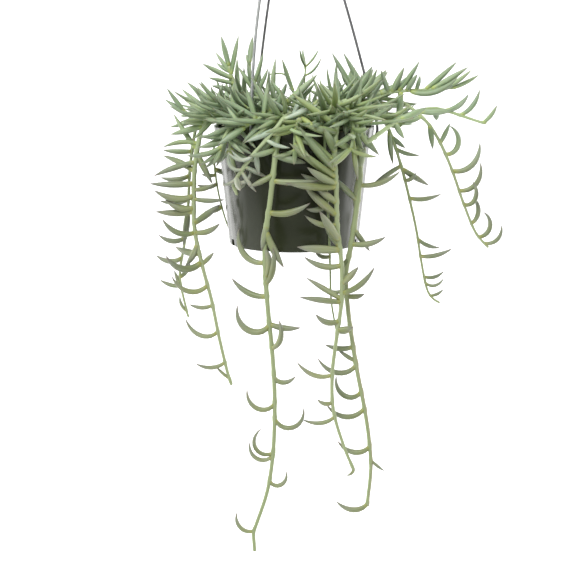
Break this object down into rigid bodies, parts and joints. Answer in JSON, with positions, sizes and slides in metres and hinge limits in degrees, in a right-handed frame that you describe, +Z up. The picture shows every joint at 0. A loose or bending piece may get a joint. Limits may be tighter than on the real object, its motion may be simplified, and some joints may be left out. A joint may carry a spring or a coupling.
{
  "type": "potted trailing succulent in a hanging pot",
  "caption": "Trailing succulent with hooked finger-like leaves on long hanging stems, rooted in a tapered plastic grow pot that hangs from a three-wire hanger with an open hook.",
  "frame": {"origin": "the inner top of the hook's crook, on the pot's axis, where the hanger rests on what it hangs from", "axes": "+Z up along the pot's axis, -Y towards the side seen in the picture, +X to that view's right"},
  "size_m": [0.3508, 0.2241, 0.7249],
  "materials": {
    "pot_plastic": "smooth dark olive-black plastic with a soft gloss",
    "soil": "damp, crumbly potting mix of peat and bark",
    "dark_metal": "dull dark grey drawn wire",
    "bright_metal": "light grey galvanised wire",
    "foliage": "waxy grey-green leaves with a pale bloom and purple-brown tips",
    "pale_foliage": "whitish waxy bloom over pale green leaves"
  },
  "bodies": {
    "root": {"pot": "pot_plastic", "soil": "soil", "sleeve": "dark_metal", "hook": "bright_metal", "wire_right": "dark_metal", "wire_back": "dark_metal", "wire_front": "bright_metal", "strand_front_left": "foliage", "strand_front_middle": "foliage", "strand_front_right": "foliage", "strand_front_inner": "foliage", "strand_left": "foliage", "strand_left_back": "foliage", "strand_left_inner": "foliage", "strand_right_inner": "foliage", "strand_right_outer": "foliage", "strand_right_top": "foliage", "strand_right_low": "foliage", "strand_back_left": "foliage", "strand_back_middle": "foliage", "strand_back_right": "foliage", "crown_left_1": "foliage", "crown_left_2": "foliage", "crown_left_3": "foliage", "crown_left_4": "foliage", "crown_left_5": "foliage", "crown_front": "pale_foliage", "crown_middle_1": "foliage", "crown_middle_2": "foliage", "crown_middle_3": "foliage", "crown_middle_4": "foliage", "crown_right_1": "foliage", "crown_right_2": "foliage", "crown_right_3": "foliage", "crown_drop_1": "foliage", "crown_drop_2": "foliage", "crown_centre_1": "foliage", "crown_centre_2": "foliage", "crown_centre_3": "foliage", "crown_centre_4": "foliage", "crown_centre_5": "foliage", "crown_back_1": "foliage", "crown_back_2": "foliage", "crown_back_3": "foliage", "crown_back_4": "foliage"}
  },
  "joints": []
}
